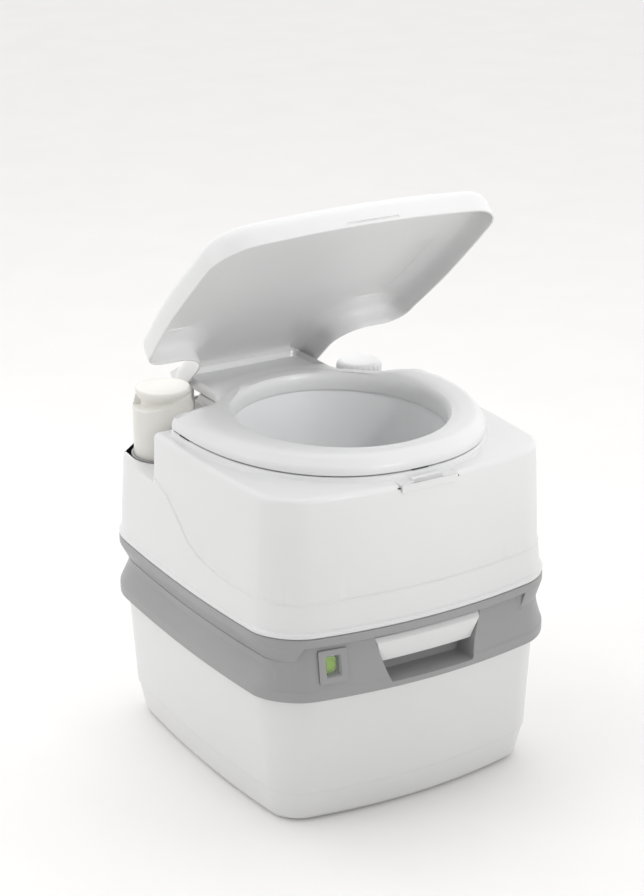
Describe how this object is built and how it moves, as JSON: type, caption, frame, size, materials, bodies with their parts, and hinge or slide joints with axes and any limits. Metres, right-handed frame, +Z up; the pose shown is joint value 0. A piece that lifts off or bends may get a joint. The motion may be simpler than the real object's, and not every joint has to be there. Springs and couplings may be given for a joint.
{
  "type": "portable camp toilet",
  "caption": "Free-standing portable toilet: a waste tank with a slide valve and pour-out spout, under a lift-off flush-water tank with bowl, pump, seat and lid.",
  "frame": {"origin": "on the floor, under the middle of the waste tank", "axes": "+Z up, -Y towards the front where the valve handle is, +X to the right seen from the front"},
  "size_m": [0.3846, 0.432, 0.6464],
  "materials": {
    "white_plastic": "glossy",
    "grey_plastic": "satin, fine moulded texture",
    "dark_plastic": "satin",
    "ivory_plastic": "satin",
    "bowl_plastic": "glossy",
    "rubber": "matte",
    "steel": "brushed",
    "clear_window": "clear",
    "indicator_green": "satin"
  },
  "bodies": {
    "waste_tank": {"waste_tank_shell": "white_plastic", "waste_tank_cover": "grey_plastic", "valve_guide": "dark_plastic", "lip_seal": "rubber", "valve_screws": "steel", "valve_collar": "dark_plastic", "rod_seal": "rubber", "level_frame": "grey_plastic", "level_window": "clear_window", "float_pin": "steel", "vent_seal": "rubber", "vent_spring": "steel", "spout_seal": "rubber", "latch_pin": "steel"},
    "valve": {"valve_handle": "white_plastic", "valve_rod": "dark_plastic", "valve_blade": "dark_plastic"},
    "level_float": {"level_drum": "indicator_green", "float_arm": "dark_plastic", "float": "ivory_plastic"},
    "vent": {"vent_button": "dark_plastic"},
    "spout": {"pour_spout": "white_plastic"},
    "spout_cap": {"spout_cap": "dark_plastic", "spout_cap_seal": "rubber"},
    "latch": {"tank_latch": "dark_plastic"},
    "flush_tank": {"flush_tank_shell": "white_plastic", "flush_tank_base": "white_plastic", "bowl": "bowl_plastic", "outlet_seal": "rubber", "rinse_nozzle": "dark_plastic", "flush_hose": "dark_plastic", "pump_well": "white_plastic", "pump_barrel": "dark_plastic", "pump_foot_valve": "rubber", "pump_collar": "rubber", "pump_spring": "steel", "fill_neck": "white_plastic", "latch_catch": "white_plastic", "hinge_pins": "steel"},
    "pump_plunger": {"pump_cap": "ivory_plastic", "pump_rod": "steel", "pump_piston": "dark_plastic", "piston_seal": "rubber"},
    "fill_cap": {"fill_cap": "white_plastic", "fill_cap_seal": "rubber"},
    "seat": {"seat": "white_plastic", "seat_bumpers": "rubber"},
    "lid": {"lid": "white_plastic"}
  },
  "joints": [
    {"name": "tank_lift", "type": "slide", "parent": "waste_tank", "child": "flush_tank", "axis": [0, 0, 1], "range_m": [0, 0.25]},
    {"name": "valve_slide", "type": "slide", "parent": "waste_tank", "child": "valve", "axis": [0, -1, 0], "range_m": [0, 0.105]},
    {"name": "float_swing", "type": "hinge", "parent": "waste_tank", "child": "level_float", "pos_m": [-0.116, -0.179, 0.192], "axis": [1, 0, 0], "range_deg": [0, 30]},
    {"name": "vent_press", "type": "slide", "parent": "waste_tank", "child": "vent", "axis": [0, 0, -1], "range_m": [0, 0.004], "stiffness_N_per_m": 300, "springref_m": -0.004, "deforming": ["vent_spring"]},
    {"name": "spout_swing", "type": "hinge", "parent": "waste_tank", "child": "spout", "pos_m": [-0.136, 0.1785, 0.184], "axis": [0, 0, 1], "range_deg": [0, 90]},
    {"name": "spout_cap_pull", "type": "slide", "parent": "spout", "child": "spout_cap", "axis": [1, 0, 0], "range_m": [0, 0.02]},
    {"name": "latch_turn", "type": "hinge", "parent": "waste_tank", "child": "latch", "pos_m": [0, 0.21, 0.213], "axis": [1, 0, 0], "range_deg": [0, 9]},
    {"name": "pump_stroke", "type": "slide", "parent": "flush_tank", "child": "pump_plunger", "axis": [0, 0, -1], "range_m": [0, 0.045], "stiffness_N_per_m": 400, "springref_m": -0.02, "deforming": ["pump_spring"]},
    {"name": "fill_cap_lift", "type": "slide", "parent": "flush_tank", "child": "fill_cap", "axis": [0, 0, 1], "range_m": [0, 0.035]},
    {"name": "seat_hinge", "type": "hinge", "parent": "flush_tank", "child": "seat", "pos_m": [0, 0.175, 0.365], "axis": [-1, 0, 0], "range_deg": [0, 95]},
    {"name": "lid_hinge", "type": "hinge", "parent": "seat", "child": "lid", "pos_m": [0, 0.175, 0.365], "axis": [1, 0, 0], "range_deg": [-53, 42.2]}
  ]
}
